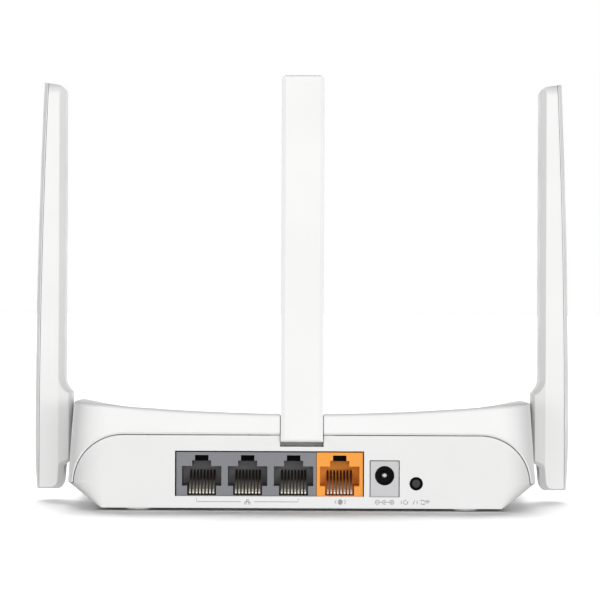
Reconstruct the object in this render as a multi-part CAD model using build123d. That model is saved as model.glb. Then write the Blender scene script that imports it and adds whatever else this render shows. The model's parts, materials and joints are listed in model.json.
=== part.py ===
from build123d import *
import math
import os

# A wireless router with three hinged antennas, built as separate pieces that fit together.
# Millimetres. +Z is up, the sockets face +Y, the status lights are near the front (-Y), and the
# origin is on the ground under the middle of the whole object's box. +X is the left-hand side
# for someone who looks at the sockets.

# ---- Case ----
FLOOR_Z = 0.8               # underside of the case, held off the table by the feet
RIM_Z = 8.1                 # parting plane round the front and the sides
FLOOR_HALF_X = 61.2
RIM_HALF_X = 71.8
UNDER_SLOPE = (RIM_HALF_X - FLOOR_HALF_X) / (RIM_Z - FLOOR_Z)
SIDE_LEAN = 0.075           # the upright walls lean in by this much per mm of height
FRONT_Y = -59.0
PANEL_Y = 57.5              # face of the socket panel, part of the bottom shell
REAR_Y = 58.3               # rear face of the top shell
REAR_CORNER_R = 11.0
FRONT_CORNER_R = 16.0
LOW_REAR_CORNER_R = 0.9     # the rear corners are almost sharp at the floor
LOW_FRONT_CORNER_R = 7.0
WALL = 1.9
FLOOR = 1.5
HULL_TOP_Z = 40.0           # the walls are drawn up to here and then cut by the top surface

# ---- Saddle-shaped top ----
REAR_MIDDLE_Z = 29.6
MIDDLE_SLOPE = 0.1
CREST_Z = 33.3              # ridge along each side, level from the rear to CREST_Y
CREST_Y = 30.0
CREST_FALL = 0.0014         # the ridge then curves down towards the front
TOP_EDGE_R = 1.1
SKIN_STEP = (14, 12)        # spacing of the points that the saddle is drawn through, in X and Y

# ---- Parting line round the socket panel ----
PANEL_HALF_X = 69.75
PANEL_TOP_Z = 23.0
PANEL_ARCH_R = 15.5
PANEL_FRONT_Y = 49.0        # the panel wraps round the rear corners as far as this
SEAM = 0.25                 # gap between the panel and the top shell
ARCH_BEVEL = 0.6            # the top shell's edge round the panel is bevelled
RIM_GAP = 0.2               # gap between the shells round the front and the sides
LIP_HEIGHT = 2.2
LIP_THICK = 0.9
LIP_GAP = 0.1

# ---- Screws, feet, keyholes, vents and label on the underside ----
SCREW_PLACES = [(-52.6, -28.0), (52.6, -28.0), (-52.6, 38.0), (52.6, 38.0)]
BOSS_R = 4.0
TOP_BOSS_R = 3.4
BOSS_JOINT_Z = 9.0
BOSS_ROOT_Z = 1.5
SCREW_HEAD_R = 2.5
SCREW_SHANK_R = 1.25
SCREW_SEAT_Z = 3.2
SCREW_TIP_Z = 16.0
SCREW_HEAD_HEIGHT = 1.6
CROSS_ARM = (2.8, 0.7)      # length and width of each arm of the cross recess
CROSS_DEPTH = 0.8
FOOT_PLACES = [(-50.0, -40.5), (50.0, -40.5), (-50.0, 50.0), (50.0, 50.0)]
FOOT_R = 3.5
FOOT_RECESS = 0.5
KEYHOLE_X = 53.5
KEYHOLE_ENTRY_R = 3.5
KEYHOLE_SLOT_R = 1.8
KEYHOLE_SLOT_LENGTH = 6.0
VENT_WIDTH = 1.8
VENT_LENGTH = 18.0
VENT_PITCH = 5.0
VENT_COUNT = 15
VENT_ROWS_Y = [-6.0, 18.0]
LABEL_HALF_X = 27.0
LABEL_Y = (-36.5, -19.5)
LABEL_THICK = 0.12

# ---- Circuit board ----
BOARD_TOP_Z = 4.4
BOARD_THICK = 1.2
BOARD_HALF_X = 47.0
BOARD_Y = (-38.0, 54.6)
PEG_PLACES = [(-42.0, -31.0), (42.0, -31.0), (-42.0, 34.0), (42.0, 34.0)]
PEG_R = 1.4
SHOULDER_R = 2.6
CAPACITOR_PLACES = [(-34.0, 24.0), (-24.0, 30.0)]
CAPACITOR_R = 3.15
CAPACITOR_HEIGHT = 8.0

# ---- Network jacks ----
JACK_PITCH = 13.97
LAN_X = [30.4 - JACK_PITCH * number for number in range(3)]
WAN_X = -11.55
JACK_FACE_Y = 57.0
JACK_BACK_Y = 41.0
JACK_TOP_Z = 17.75
LAN_BLOCK_X = (-4.4, 38.1)
WAN_BLOCK_X = (-18.6, -4.55)
SOCKET_BACK_Y = 44.6
SOCKET_HALF = 6.0
SOCKET_Z = (4.65, 13.5)
LEDGE = (1.6, 7.5)          # ledge in each lower corner of a socket: its width and its top
STEP = (2.9, 15.2)          # half-width and top of the stepped part
LATCH = (2.05, 16.85)       # half-width and top of the latch notch
CONTACT_COUNT = 8
CONTACT_PITCH = 1.02
CONTACT_WIDTH = 0.54
CONTACT_THICK = 0.3
CONTACT_ROUTE = [(45.4, 5.1), (56.3, 5.1), (55.3, 6.3), (46.2, 10.2), (43.8, 11.4)]  # in Y and Z
CONTACT_RADII = [0.3, 0.35, 2.0]
COMB_DEPTH = 1.4
COMB_Z = (8.4, 12.0)
COMB_SIDE_GAP = 0.08
WINDOW_X = (-18.95, 38.5)
WINDOW_Z = (4.4, 18.15)

# ---- Power jack ----
DC_X = -25.2
DC_HALF_X = 4.3
DC_FACE_Y = 57.3
DC_BACK_Y = 43.4
DC_TOP_Z = 15.2
DC_HOLE_Z = 10.8
DC_HOLE_R = 2.95
DC_HOLE_DEPTH = 9.5
DC_PIN_R = 1.0
DC_PIN_ROOT_R = 0.8         # the part of the pin that is moulded into the housing
DC_PIN_TIP_Y = 56.2
DC_SLOT_HALF_X = 1.3        # slot under the bore for the spring contact
DC_SLOT_Z = (6.5, 8.5)
DC_SPRING_ROUTE = [(47.9, 6.8), (50.0, 6.8), (52.4, 8.05), (55.4, 6.9)]  # in Y and Z
DC_SPRING_RADII = [1.5, 1.2]
FACE_GAP = 0.25

# ---- Reset button ----
RESET_X = -34.8
RESET_Z = 8.4
RESET_HOLE_R = 2.05
BUTTON_R = 1.35
BUTTON_FACE_Y = 56.9
BUTTON_FLANGE_R = 2.6
BUTTON_FLANGE_Y = (54.2, 55.1)
SWITCH_Y = (46.0, 51.0)
SWITCH_FACE_Y = 53.2        # end of the switch's own plunger

# ---- Status lights ----
LIGHT_X = [-20.0, -10.0, 0.0, 10.0, 20.0]
LIGHT_Y = -34.0
LIGHT_R = 0.95
LIGHT_BAR_Z = (11.0, 12.6)

# ---- Side antennas; the +X one is drawn and the other is its mirror image ----
PIVOT_Y = 11.5
PIVOT_Z = 16.5
ANTENNA_HALF_Y = 7.0
ANTENNA_Z = (4.0, 133.0)
BLADE_X = 75.4              # inner face of the blade
BLADE_BEVEL = 1.8
BASE_X = 73.1               # inner face of the thicker hinge end
SIDE_SLANT = 0.29           # the sides of the hinge end slant in by this much towards the case
SHOULDER_TOP_Z = 39.5       # the hollow shoulder runs out into the blade here
SHOULDER_R = 6.5
BASE_END_R = 0.6            # lower end of the antenna, seen from the side
BASE_END_BEVEL = 0.6
CUT_TOP_Z = 12.9            # the hinge end's lower inner corner is cut away below this
CUT_EDGE = (75.3, 11.4)
CUT_FOOT_X = 75.9
CUT_RADII = [0.9, 4.0]
SLANT_START_X = 72.0        # inner end of the slanting sides of the hinge end
CLEAR_X = 90.0              # beyond the outer face of a side antenna
SEAM_X = 83.2               # seam between housing and cover at the height of the hinge
SEAM_ARC_R = 2640.0         # the seam bends in towards the tip on a very large radius
COVER_CROWN = 1.5           # how far the cover's middle stands out beyond its edges
COVER_EDGE = 0.3
COVER_FALL = 0.9            # the cover draws in by this much towards its lower end
COVER_FALL_Z = 20.0
COVER_GAP = 0.12
HUB_SHAFT_R = 3.0
HUB_BORE_R = 1.0
HUB_FLANGE_R = 3.65
HUB_FLANGE_X = 71.95
HUB_END_X = 66.4
HUB_CLEARANCE = 0.05
PAD_X = 71.8                # flat round pad on the side of the case
PAD_R = 5.0
SIDE_BOSS_X = 67.9
SIDE_BOSS_R = 6.0
RING_X = (66.95, 67.75)
RING_GROOVE_R = 2.5
RING_R = 4.0

# ---- Rear antenna ----
REAR_PIVOT_Y = 55.0
REAR_PIVOT_Z = 24.9
REAR_HUB_R = 4.0
REAR_ANTENNA_HALF_X = 6.45
REAR_ANTENNA_TOP_Z = 132.3
REAR_ANTENNA_TIP_Y = 52.4
REAR_ANTENNA_BEVEL = (1.2, 0.45)
REAR_SEAM_Y = 56.5
PIN_R = 2.0
PIN_HALF_X = 9.3
NOTCH_HALF_X = 6.65
NOTCH_FRONT_Y = 49.6
NOTCH_Z = 19.5
RIB_END_X = 9.6
RIB_FRONT_Y = 51.4
CRADLE_LOW_Z = 18.4
POCKET_WALL = 1.2           # wall that closes the notch off from the inside of the case
POCKET_TOP_Z = 26.4

CABLE_R = 0.57


def along_x(sketch, low, high):
    """Solid from a sketch drawn in Y and Z, between two X positions."""
    plane = Plane(origin=(low, 0, 0), x_dir=(0, 1, 0), z_dir=(1, 0, 0))
    return extrude(plane * sketch, amount=high - low)


def along_y(sketch, low, high):
    """Solid from a sketch drawn in X and Z, between two Y positions."""
    plane = Plane(origin=(0, low, 0), x_dir=(1, 0, 0), z_dir=(0, -1, 0))
    return extrude(plane * sketch, amount=low - high)


def along_z(sketch, low, high):
    """Solid from a sketch drawn in X and Y, between two heights."""
    return extrude(Plane.XY.offset(low) * sketch, amount=high - low)


def disc(place, radius):
    return Pos(*place) * Circle(radius)


def block(x, y, z):
    """Box between pairs of X, Y and Z positions."""
    size = [high - low for low, high in (x, y, z)]
    centre = [(high + low) / 2 for low, high in (x, y, z)]
    return Pos(*centre) * Box(*size)


def below(z):
    return block((-100, 100), (-100, 100), (-50, z))


def above(z):
    return block((-100, 100), (-100, 100), (z, 150))


def rounded(points, radii):
    """Flat shape with straight sides and a radius at each corner."""
    return make_face(FilletPolyline(*points, radius=radii, close=True))


def partly_rounded(points, radii):
    """Flat shape with straight sides; the first corners get the radii, the rest stay sharp."""
    face = make_face(Polyline(*points, close=True))
    for point, radius in zip(points, radii):
        face = fillet(face.vertices().sort_by_distance((*point, 0))[0], radius)
    return face


def outline(z, draw_in, rear, front_r, rear_r):
    """Plan outline of the case at height z, with the front and the sides drawn in."""
    half_x = RIM_HALF_X - draw_in
    front = FRONT_Y + draw_in
    corners = [(-half_x, front, z), (half_x, front, z), (half_x, rear, z), (-half_x, rear, z)]
    return rounded(corners, [front_r, front_r, rear_r, rear_r])


def hull(inset, low_z, rear):
    """Solid bounded by the case's outer faces moved inwards by inset, from low_z upwards."""
    slant = math.hypot(1, UNDER_SLOPE)
    knee_z = RIM_Z + inset * (slant - 1) / (UNDER_SLOPE + SIDE_LEAN)
    low_draw = UNDER_SLOPE * (RIM_Z - low_z) + inset * slant
    knee_draw = SIDE_LEAN * (knee_z - RIM_Z) + inset
    top_draw = SIDE_LEAN * (HULL_TOP_Z - RIM_Z) + inset
    front_r = FRONT_CORNER_R - inset
    rear_r = REAR_CORNER_R - inset
    back = rear - inset
    sections = [
        outline(low_z, low_draw, back, LOW_FRONT_CORNER_R, LOW_REAR_CORNER_R),
        outline(knee_z, knee_draw, back, front_r, rear_r),
        outline(HULL_TOP_Z, top_draw, back, front_r, rear_r),
    ]
    return loft(sections, ruled=True)


def top_height(x, y):
    """Height of the saddle: a sloping valley between two ridges that fall to the front."""
    middle = REAR_MIDDLE_Z - MIDDLE_SLOPE * (REAR_Y - y)
    ridge = CREST_Z - CREST_FALL * max(0.0, CREST_Y - y) ** 2
    return middle + (ridge - middle) * (x / RIM_HALF_X) ** 2


def under_top(depth):
    """Everything that lies deeper than depth under the saddle."""
    step_x, step_y = SKIN_STEP
    rows = [
        [(x, y, top_height(x, y) - depth) for y in range(-66, 67, step_y)]
        for x in range(-84, 85, step_x)
    ]
    skin = Face.make_surface_from_array_of_points(rows, tol=0.01, min_deg=3)
    return extrude(skin, amount=80, dir=(0, 0, -1))


def panel_arch(grow, front):
    """Arch-topped block that the socket panel fills, grown all round."""
    half = PANEL_HALF_X + grow
    top = PANEL_TOP_Z + grow
    arch = Pos(0, top / 2) * Rectangle(2 * half, top)
    arch = fillet(arch.vertices().group_by(Axis.Y)[-1], PANEL_ARCH_R + grow)
    return along_y(arch, front, REAR_Y + 5)


def rear_pin_bore():
    bore = disc((REAR_PIVOT_Y, REAR_PIVOT_Z), PIN_R + HUB_CLEARANCE)
    return along_x(bore, -RIB_END_X, RIB_END_X)


def socket_profile(x):
    """Opening of one network socket: plug space, step and latch notch, with two low ledges."""
    low, shelf = SOCKET_Z
    inner = SOCKET_HALF - LEDGE[0]
    right = [
        (inner, low),
        (inner, LEDGE[1]),
        (SOCKET_HALF, LEDGE[1]),
        (SOCKET_HALF, shelf),
        (STEP[0], shelf),
        (STEP[0], STEP[1]),
        (LATCH[0], STEP[1]),
        (LATCH[0], LATCH[1]),
    ]
    left = [(-across, height) for across, height in reversed(right)]
    return Pos(x, 0) * make_face(Polyline(*right, *left, close=True))


def contact_places(x):
    middle = (CONTACT_COUNT - 1) / 2
    return [x + CONTACT_PITCH * (number - middle) for number in range(CONTACT_COUNT)]


def jack(block_x, socket_x):
    """Moulded jack body with one socket at each X in socket_x and a comb for its contacts."""
    body = block(block_x, (JACK_BACK_Y, JACK_FACE_Y), (BOARD_TOP_Z, JACK_TOP_Z))
    for x in socket_x:
        body -= along_y(socket_profile(x), SOCKET_BACK_Y, JACK_FACE_Y + 1)
        for place in contact_places(x):
            half = CONTACT_WIDTH / 2 + COMB_SIDE_GAP
            comb_y = (SOCKET_BACK_Y - COMB_DEPTH, SOCKET_BACK_Y)
            body -= block((place - half, place + half), comb_y, COMB_Z)
    return body


def strip(x, width, thick, points, radii):
    """Bent metal strip: the points of its middle line lie in Y and Z."""
    path = FilletPolyline(*[(x, y, z) for y, z in points], radius=radii)
    start = Plane(origin=path @ 0, x_dir=(1, 0, 0), z_dir=path % 0)
    return sweep(start * Rectangle(width, thick), path=path)


def contact_wires(socket_x):
    """Spring contacts: each runs forward along the floor, folds back and rises into the comb."""
    return Compound(
        children=[
            strip(place, CONTACT_WIDTH, CONTACT_THICK, CONTACT_ROUTE, CONTACT_RADII)
            for x in socket_x
            for place in contact_places(x)
        ]
    )


def bottom_shell():
    """Tray with sloping sides, the upright socket panel, and everything moulded on them."""
    walls = hull(0, FLOOR_Z, PANEL_Y) - hull(WALL, FLOOR_Z + FLOOR, PANEL_Y)
    tray = walls & below(RIM_Z - RIM_GAP / 2)
    panel = walls & panel_arch(-SEAM / 2, PANEL_FRONT_Y) & above(RIM_Z - 1)
    shell = tray + panel + shell_lip()
    shell += bottom_bosses()
    shell += rear_cradles()
    shell -= panel_windows()
    shell -= floor_openings()
    return shell


def shell_lip():
    """Thin ledge that stands inside the top shell and hides the seam."""
    low = FLOOR_Z + FLOOR
    outside = WALL + LIP_GAP
    inside = hull(outside + LIP_THICK, low, PANEL_Y)
    extent = (-100, 100), (-100, PANEL_FRONT_Y - 1)
    root = block(*extent, (RIM_Z - 1.0, RIM_Z - RIM_GAP / 2))
    root &= hull(WALL - 0.4, low, PANEL_Y) - inside
    lip = block(*extent, (RIM_Z - RIM_GAP, RIM_Z + LIP_HEIGHT))
    lip &= hull(outside, low, PANEL_Y) - inside
    for side in (-1, 1):
        span = sorted((side * SIDE_BOSS_X * 0.8, side * RIM_HALF_X))
        lip -= block(span, (PIVOT_Y - 7, PIVOT_Y + 7), (RIM_Z, RIM_Z + 5))
    return root + lip


def bottom_bosses():
    """Screw bosses, and pegs with shoulders that carry the circuit board."""
    screw_discs = Sketch() + [disc(place, BOSS_R) for place in SCREW_PLACES]
    shoulders = Sketch() + [disc(place, SHOULDER_R) for place in PEG_PLACES]
    pegs = Sketch() + [disc(place, PEG_R) for place in PEG_PLACES]
    bosses = along_z(screw_discs, BOSS_ROOT_Z, BOSS_JOINT_Z)
    bosses += along_z(shoulders, BOSS_ROOT_Z, BOARD_TOP_Z - BOARD_THICK)
    bosses += along_z(pegs, BOSS_ROOT_Z, BOARD_TOP_Z + 1.2)
    return bosses


def rear_cradles():
    """Pocket round the notch, and two posts whose half-round tops carry the rear antenna's pins."""
    half = NOTCH_HALF_X + POCKET_WALL
    front = NOTCH_FRONT_Y - POCKET_WALL
    rear = PANEL_Y - WALL / 2
    posts = block((-half, half), (front, RIB_FRONT_Y - 0.2), (CRADLE_LOW_Z, POCKET_TOP_Z))
    posts += block((-half, half), (front, rear), (CRADLE_LOW_Z, NOTCH_Z + 0.5))
    for side in (-1, 1):
        span = sorted((side * NOTCH_HALF_X, side * RIB_END_X))
        posts += block(span, (RIB_FRONT_Y, rear), (CRADLE_LOW_Z, REAR_PIVOT_Z - 0.05))
    return posts


def panel_windows():
    """Cut-outs of the socket panel, the antenna's notch in its top edge and the pin bore."""
    through = (PANEL_Y - 2 * WALL, PANEL_Y + 1)
    half = DC_HALF_X + FACE_GAP
    dc_window_z = (BOARD_TOP_Z - 0.1, DC_TOP_Z + FACE_GAP)
    windows = block(WINDOW_X, through, WINDOW_Z)
    windows += block((DC_X - half, DC_X + half), through, dc_window_z)
    windows += along_y(disc((RESET_X, RESET_Z), RESET_HOLE_R), *through)
    windows += block((-NOTCH_HALF_X, NOTCH_HALF_X), (NOTCH_FRONT_Y, REAR_Y + 1), (NOTCH_Z, 40))
    return windows + rear_pin_bore()


def keyhole(x):
    """Wall-hanging hole: a round entry that runs into a narrow slot."""
    slot = Pos(x, KEYHOLE_SLOT_LENGTH / 2) * Rectangle(2 * KEYHOLE_SLOT_R, KEYHOLE_SLOT_LENGTH)
    entry = disc((x, 0), KEYHOLE_ENTRY_R)
    return entry + slot + disc((x, KEYHOLE_SLOT_LENGTH), KEYHOLE_SLOT_R)


def floor_openings():
    """Screw holes, foot recesses, wall keyholes and ventilation slots."""
    holes = Part()
    through = FLOOR_Z + FLOOR + 0.2
    for place in SCREW_PLACES:
        holes += along_z(disc(place, SCREW_HEAD_R + 0.2), 0, SCREW_SEAT_Z)
        holes += along_z(disc(place, SCREW_SHANK_R + 0.2), 0, BOSS_JOINT_Z + 1)
    for place in FOOT_PLACES:
        holes += along_z(disc(place, FOOT_R + 0.1), 0, FLOOR_Z + FOOT_RECESS)
    for side in (-1, 1):
        holes += along_z(keyhole(side * KEYHOLE_X), 0, through)
    for row in VENT_ROWS_Y:
        for number in range(VENT_COUNT):
            x = VENT_PITCH * (number - (VENT_COUNT - 1) / 2)
            vent = Pos(x, row) * SlotOverall(VENT_LENGTH, VENT_WIDTH, rotation=90)
            holes += along_z(vent, 0, through)
    return holes


def top_shell():
    """Saddle-shaped cap, its rear wall slightly proud of the socket panel."""
    outer = hull(0, FLOOR_Z, REAR_Y) & above(RIM_Z + RIM_GAP / 2) & under_top(0)
    top_edges = outer.faces().sort_by(lambda face: -face.center().Z)[0].edges()
    outer = fillet(top_edges, TOP_EDGE_R)
    inner = hull(WALL, FLOOR_Z, REAR_Y) & under_top(WALL)
    shell = outer - inner
    shell += top_bosses()
    shell += side_pads()
    shell -= panel_arch(SEAM / 2, PANEL_FRONT_Y - SEAM)
    shell = chamfer(arch_edges(shell), ARCH_BEVEL)
    shell += rear_ribs()
    shell -= block((-NOTCH_HALF_X, NOTCH_HALF_X), (NOTCH_FRONT_Y, REAR_Y + 1), (0, 50))
    shell -= rear_pin_bore()
    bore = disc((PIVOT_Y, PIVOT_Z), HUB_SHAFT_R + HUB_CLEARANCE)
    shell -= along_x(bore, -80, 80)
    lights = Sketch() + [disc((x, LIGHT_Y), LIGHT_R + 0.1) for x in LIGHT_X]
    shell -= along_z(lights, 5, 40)
    return shell


def arch_edges(shell):
    """Outer edges of the opening in the rear wall that the socket panel fills."""
    edges = []
    for edge in shell.edges():
        box = edge.bounding_box()
        on_rear_face = abs(box.max.Y - REAR_Y) < 0.02
        round_panel = box.max.Z < PANEL_TOP_Z + 1 and edge.length > 5
        if on_rear_face and round_panel:
            edges.append(edge)
    return edges


def top_bosses():
    """Screw bosses and hold-down posts that reach from the roof to the lower parts."""
    bosses = Part()
    for place in SCREW_PLACES:
        boss = along_z(disc(place, TOP_BOSS_R), BOSS_JOINT_Z + 0.05, 36)
        bosses += boss - along_z(disc(place, SCREW_SHANK_R + 0.05), 0, SCREW_TIP_Z + 1)
    for place in PEG_PLACES:
        post = along_z(disc(place, SHOULDER_R), BOARD_TOP_Z + 0.05, 36)
        bosses += post - along_z(disc(place, PEG_R + 0.15), 0, BOARD_TOP_Z + 2)
    return bosses & under_top(WALL / 2)


def side_pads():
    """Round hinge boss on each side wall, flat on the outside and on the inside."""
    inner = disc((PIVOT_Y, PIVOT_Z), SIDE_BOSS_R)
    outer = disc((PIVOT_Y, PIVOT_Z), PAD_R)
    pads = Part()
    for side in (-1, 1):
        pads += along_x(inner, *sorted((side * SIDE_BOSS_X, side * 70.0)))
        pads += along_x(outer, *sorted((side * 69.0, side * PAD_X)))
    return pads


def rear_ribs():
    """Two ribs under the roof that close the bearings of the rear antenna's pins."""
    ribs = Part()
    for side in (-1, 1):
        span = sorted((side * NOTCH_HALF_X, side * RIB_END_X))
        ribs += block(span, (RIB_FRONT_Y, REAR_Y - WALL / 2), (REAR_PIVOT_Z + 0.05, 36))
    return ribs & under_top(WALL / 2)


def circuit_board():
    board = block((-BOARD_HALF_X, BOARD_HALF_X), BOARD_Y, (BOARD_TOP_Z - BOARD_THICK, BOARD_TOP_Z))
    for place in PEG_PLACES:
        board -= along_z(disc(place, PEG_R + 0.15), 0, BOARD_TOP_Z + 1)
    return board


def on_board(x, y, width, depth, height, lift=0.0):
    """Plain component body that stands on the circuit board."""
    low = BOARD_TOP_Z + lift
    return block((x - width / 2, x + width / 2), (y - depth / 2, y + depth / 2), (low, low + height))


def chip_package(x, y, size, height):
    """Square chip with slightly bevelled top edges."""
    body = on_board(x, y, size, size, height)
    return chamfer(body.edges().group_by(Axis.Z)[-1], 0.15)


def leaded_chip(x, y, width, depth, height, leads):
    """Chip body on two rows of bent leads."""
    chip = on_board(x, y, width, depth, height, 0.15)
    pitch = 1.27
    for number in range(leads):
        lead_y = y + pitch * (number - (leads - 1) / 2)
        for side in (-1, 1):
            chip += on_board(x + side * (width / 2 + 0.5), lead_y, 1.2, 0.4, 0.2)
            chip += on_board(x + side * (width / 2 + 0.05), lead_y, 0.3, 0.4, height / 2 + 0.2)
    return chip


def electrolytic_capacitors():
    """Two round cans, each on its square plastic base."""
    bodies = []
    for x, y in CAPACITOR_PLACES:
        can = along_z(disc((x, y), CAPACITOR_R), BOARD_TOP_Z + 0.4, BOARD_TOP_Z + CAPACITOR_HEIGHT)
        can = fillet(can.edges().group_by(Axis.Z)[-1], 0.5)
        bodies.append(can + on_board(x, y, 6.6, 6.6, 0.6))
    return Compound(children=bodies)


def ceramic_capacitors():
    places = [(x, y) for x in (0.0, 3.0, 19.5) for y in (0.0, 22.0)]
    return Compound(children=[on_board(x, y, 1.6, 0.8, 0.8) for x, y in places])


def network_transformers():
    return Compound(children=[on_board(x, 33.5, 9.4, 7.2, 4.0) for x in (25.0, 3.0)])


def soft_topped_block(x, y, width, depth, height, radius):
    """Component body with rounded top edges."""
    body = on_board(x, y, width, depth, height)
    return fillet(body.edges().group_by(Axis.Z)[-1], radius)


def dc_jack_housing():
    """Moulded body of the power jack: a round bore with a side slot for the spring contact."""
    span = (DC_X - DC_HALF_X, DC_X + DC_HALF_X)
    body = block(span, (DC_BACK_Y, DC_FACE_Y), (BOARD_TOP_Z, DC_TOP_Z))
    centre = (DC_X, DC_HOLE_Z)
    back = DC_FACE_Y - DC_HOLE_DEPTH
    slot_x = (DC_X - DC_SLOT_HALF_X, DC_X + DC_SLOT_HALF_X)
    body -= along_y(disc(centre, DC_HOLE_R), back, DC_FACE_Y)
    body -= along_y(disc(centre, DC_PIN_ROOT_R), DC_BACK_Y - 1, back)
    body -= block(slot_x, (back, 55.6), DC_SLOT_Z)
    return body


def dc_jack_center_pin():
    """Centre pin with a rounded tip, on a thinner root that is moulded into the housing."""
    centre = (DC_X, DC_HOLE_Z)
    back = DC_FACE_Y - DC_HOLE_DEPTH
    pin = along_y(disc(centre, DC_PIN_R), back, DC_PIN_TIP_Y)
    pin = fillet(pin.edges().group_by(Axis.Y)[-1], 0.6)
    return pin + along_y(disc(centre, DC_PIN_ROOT_R), DC_BACK_Y, back)


def dc_jack_spring_contact():
    return strip(DC_X, 2.0, 0.3, DC_SPRING_ROUTE, DC_SPRING_RADII)


def reset_switch():
    """Right-angle push switch on the board, with its short plunger."""
    switch = block((RESET_X - 3.0, RESET_X + 3.0), SWITCH_Y, (BOARD_TOP_Z, RESET_Z + 2.4))
    return switch + along_y(disc((RESET_X, RESET_Z), 1.2), SWITCH_Y[1] - 0.5, SWITCH_FACE_Y)


def reset_button():
    """Cap that reaches through the panel, with a flange that keeps it in."""
    button = along_y(disc((RESET_X, RESET_Z), BUTTON_R), BUTTON_FLANGE_Y[0], BUTTON_FACE_Y)
    button += along_y(disc((RESET_X, RESET_Z), BUTTON_FLANGE_R), *BUTTON_FLANGE_Y)
    return fillet(button.edges().group_by(Axis.Y)[-1], 0.25)


def status_leds():
    return Compound(children=[on_board(x, LIGHT_Y, 1.6, 0.8, 0.7) for x in LIGHT_X])


def light_guide():
    """Row of clear rods joined by a bar; their tops follow the case's surface."""
    rods = along_z(Sketch() + [disc((x, LIGHT_Y), LIGHT_R) for x in LIGHT_X], BOARD_TOP_Z + 1.2, 36)
    rods += block((LIGHT_X[0] - 2, LIGHT_X[-1] + 2), (LIGHT_Y - 1.5, LIGHT_Y + 1.5), LIGHT_BAR_Z)
    return rods & under_top(0.05)


def case_screws():
    """Pan-head screws with a cross recess, driven up from below."""
    screws = []
    head_z = SCREW_SEAT_Z - SCREW_HEAD_HEIGHT
    cross = Rectangle(*CROSS_ARM) + Rectangle(*reversed(CROSS_ARM))
    for place in SCREW_PLACES:
        head = along_z(disc(place, SCREW_HEAD_R), head_z, SCREW_SEAT_Z)
        head = fillet(head.edges().group_by(Axis.Z)[0], 0.6)
        head -= along_z(Pos(*place) * cross, head_z - 0.4, head_z + CROSS_DEPTH)
        shank = along_z(disc(place, SCREW_SHANK_R), SCREW_SEAT_Z - 0.1, SCREW_TIP_Z)
        screws.append(head + chamfer(shank.edges().group_by(Axis.Z)[-1], 0.5))
    return Compound(children=screws)


def rubber_feet():
    feet = []
    for place in FOOT_PLACES:
        foot = along_z(disc(place, FOOT_R), 0, FLOOR_Z + FOOT_RECESS)
        feet.append(fillet(foot.edges().group_by(Axis.Z)[0], 0.35))
    return Compound(children=feet)


def cable(points, radii):
    """Thin coaxial cable along straight runs joined by arcs."""
    path = FilletPolyline(*points, radius=radii)
    start = Plane(origin=path @ 0, z_dir=path % 0)
    return sweep(start * Circle(CABLE_R), path=path)


def side_cable():
    """Cable from the +X antenna's hub down to the board."""
    end_z = BOARD_TOP_Z + CABLE_R + 0.03
    points = [
        (HUB_END_X - 0.1, PIVOT_Y, PIVOT_Z),
        (57.0, PIVOT_Y, PIVOT_Z),
        (49.0, 10.0, end_z),
        (40.0, 8.0, end_z),
    ]
    return cable(points, [5.0, 6.0])


def rear_cable():
    """Cable from the end of the rear antenna's pin down to the board, behind the jacks."""
    end_z = BOARD_TOP_Z + CABLE_R + 0.03
    points = [
        (PIN_HALF_X + 0.1, REAR_PIVOT_Y, REAR_PIVOT_Z),
        (16.0, REAR_PIVOT_Y, REAR_PIVOT_Z),
        (16.0, 39.5, 20.5),
        (14.0, 32.0, end_z),
        (14.0, 22.0, end_z),
    ]
    return cable(points, [2.6, 5.0, 5.0])


def side_outline():
    """Antenna seen from the side: a long bar with rounded corners at the tip."""
    low, high = ANTENNA_Z
    near = PIVOT_Y - ANTENNA_HALF_Y
    far = PIVOT_Y + ANTENNA_HALF_Y
    corners = [(near, low), (far, low), (far, high), (near, high)]
    return rounded(corners, [BASE_END_R, BASE_END_R, 4.0, 4.0])


def bevelled_bar(inner_x, bevel):
    """Plan section of the antenna with both inner edges bevelled."""
    near = PIVOT_Y - ANTENNA_HALF_Y
    far = PIVOT_Y + ANTENNA_HALF_Y
    points = [
        (inner_x, near + bevel),
        (inner_x + bevel, near),
        (CLEAR_X, near),
        (CLEAR_X, far),
        (inner_x + bevel, far),
        (inner_x, far - bevel),
    ]
    return make_face(Polyline(*points, close=True))


def inside_seam(grow):
    """Everything on the inner side of the seam surface, which is a very large cylinder."""
    centre = (SEAM_X - SEAM_ARC_R, PIVOT_Z)
    return along_y(disc(centre, SEAM_ARC_R + grow), PIVOT_Y - 10, PIVOT_Y + 10)


def under_crown():
    """Everything on the inner side of the cover's crowned outer face."""
    rows = []
    heights = [-4, 0, 4, 8, 12, 16, 20, 26, 34, 44, 56, 70, 84, 98, 112, 126, 140]
    for step in range(-10, 11, 2):
        rise = COVER_CROWN * (1 - (step / ANTENNA_HALF_Y) ** 2) + COVER_EDGE
        row = []
        for z in heights:
            bend = (z - PIVOT_Z) ** 2 / (2 * SEAM_ARC_R)
            fall = COVER_FALL * (max(0, COVER_FALL_Z - z) / COVER_FALL_Z) ** 2
            row.append((SEAM_X - bend + rise - fall, PIVOT_Y + step, z))
        rows.append(row)
    skin = Face.make_surface_from_array_of_points(rows, tol=0.005, min_deg=3)
    return extrude(skin, amount=30, dir=(-1, 0, 0))


def antenna_front_outline(inner_x, low):
    """Antenna seen from the rear: the tip slopes down to a rounded inner corner."""
    tip = ANTENNA_Z[1]
    corners = [(inner_x, low), (86, low), (86, tip + 0.5), (inner_x, tip - 1.3)]
    return rounded(corners, [0.05, 2.5, 0.5, 2.5])


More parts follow.
